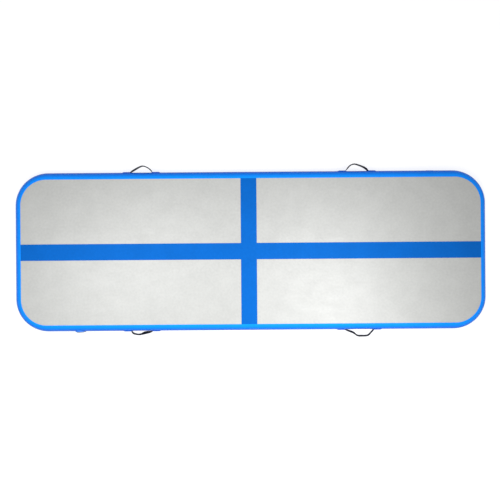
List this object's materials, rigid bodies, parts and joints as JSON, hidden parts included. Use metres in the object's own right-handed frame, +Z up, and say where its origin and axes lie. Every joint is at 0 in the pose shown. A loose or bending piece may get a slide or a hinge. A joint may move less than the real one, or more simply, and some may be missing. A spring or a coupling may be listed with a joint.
{
  "type": "air track mat",
  "caption": "Long rectangular inflated tumbling mat with rounded corners, swollen side wall, crossed stripes on top, webbing carry handles and a capped push valve.",
  "frame": {"origin": "middle of the mat's footprint, on the floor that the mat lies on", "axes": "+X along the mat's length, +Y across its width towards the back long side, +Z up from the floor through the top skin"},
  "size_m": [2.9998, 1.111, 0.1],
  "materials": {
    "top_skin_fabric": "satin grey PVC coated fabric",
    "bottom_skin_fabric": "matte grey PVC coated fabric",
    "polyester_yarn": "white thread",
    "inner_wall_fabric": "matte grey PVC coated fabric",
    "blue_wall_fabric": "semi-gloss blue PVC coated fabric",
    "blue_stripe_fabric": "satin blue PVC coated fabric",
    "blue_patch_fabric": "semi-gloss blue PVC coated fabric",
    "black_webbing": "black woven webbing",
    "blue_boss_rubber": "satin blue moulded PVC",
    "black_rubber": "matte black rubber",
    "grey_cap_rubber": "satin grey moulded rubber",
    "grey_plastic": "satin grey moulded plastic",
    "button_plastic": "grey moulded plastic",
    "spring_steel": "bright spring wire"
  },
  "bodies": {
    "mat": {"bottom_skin": "bottom_skin_fabric", "top_skin": "top_skin_fabric", "drop_stitch_yarns": "polyester_yarn", "inner_side_wall": "inner_wall_fabric", "outer_side_wall": "blue_wall_fabric", "side_wall_joint_strip": "blue_wall_fabric", "long_stripe": "blue_stripe_fabric", "cross_stripe_front": "blue_stripe_fabric", "cross_stripe_back": "blue_stripe_fabric", "back_left_handle_left_patch": "blue_patch_fabric", "back_left_handle_left_end": "black_webbing", "back_left_handle_left_cover": "blue_patch_fabric", "back_left_handle_right_patch": "blue_patch_fabric", "back_left_handle_right_end": "black_webbing", "back_left_handle_right_cover": "blue_patch_fabric", "back_right_handle_left_patch": "blue_patch_fabric", "back_right_handle_left_end": "black_webbing", "back_right_handle_left_cover": "blue_patch_fabric", "back_right_handle_right_patch": "blue_patch_fabric", "back_right_handle_right_end": "black_webbing", "back_right_handle_right_cover": "blue_patch_fabric", "front_left_handle_left_patch": "blue_patch_fabric", "front_left_handle_left_end": "black_webbing", "front_left_handle_left_cover": "blue_patch_fabric", "front_left_handle_right_patch": "blue_patch_fabric", "front_left_handle_right_end": "black_webbing", "front_left_handle_right_cover": "blue_patch_fabric", "front_right_handle_left_patch": "blue_patch_fabric", "front_right_handle_left_end": "black_webbing", "front_right_handle_left_cover": "blue_patch_fabric", "front_right_handle_right_patch": "blue_patch_fabric", "front_right_handle_right_end": "black_webbing", "front_right_handle_right_cover": "blue_patch_fabric", "valve_boss": "blue_boss_rubber", "valve_gasket": "black_rubber", "cap_tether_ring": "grey_cap_rubber", "valve_body": "grey_plastic", "valve_clamp_washer": "grey_plastic", "valve_nut": "grey_plastic", "valve_spring": "spring_steel"},
    "back_left_handle": {"back_left_handle_loop": "black_webbing"},
    "back_right_handle": {"back_right_handle_loop": "black_webbing"},
    "front_left_handle": {"front_left_handle_loop": "black_webbing"},
    "front_right_handle": {"front_right_handle_loop": "black_webbing"},
    "valve_retainer": {"spring_retainer": "grey_plastic"},
    "valve_plunger": {"valve_stem": "grey_plastic", "valve_button": "button_plastic", "plunger_disc": "grey_plastic", "plunger_seal": "black_rubber"},
    "cap": {"valve_cap": "grey_cap_rubber", "cap_sealing_ring": "black_rubber"}
  },
  "joints": [
    {"name": "back_left_handle_swing", "type": "hinge", "parent": "mat", "child": "back_left_handle", "pos_m": [-0.696, 0.511, 0.05], "axis": [1, 0, 0], "range_deg": [-60, 60]},
    {"name": "back_right_handle_swing", "type": "hinge", "parent": "mat", "child": "back_right_handle", "pos_m": [0.684, 0.511, 0.05], "axis": [1, 0, 0], "range_deg": [-60, 60]},
    {"name": "front_left_handle_swing", "type": "hinge", "parent": "mat", "child": "front_left_handle", "pos_m": [-0.696, -0.511, 0.05], "axis": [-1, 0, 0], "range_deg": [-60, 60]},
    {"name": "front_right_handle_swing", "type": "hinge", "parent": "mat", "child": "front_right_handle", "pos_m": [0.691, -0.511, 0.05], "axis": [-1, 0, 0], "range_deg": [-60, 60]},
    {"name": "valve_press", "type": "slide", "parent": "mat", "child": "valve_retainer", "axis": [0, 1, 0], "range_m": [0, 0.005], "stiffness_N_per_m": 600, "springref_m": -0.004, "deforming": ["valve_spring"]},
    {"name": "valve_lock_turn", "type": "hinge", "parent": "valve_retainer", "child": "valve_plunger", "pos_m": [-1.094, -0.4991, 0.05], "axis": [0, -1, 0], "range_deg": [0, 90]},
    {"name": "valve_cap_hinge", "type": "hinge", "parent": "mat", "child": "cap", "pos_m": [-1.0595, -0.5104, 0.05], "axis": [0, 0, 1], "range_deg": [0, 165]}
  ]
}
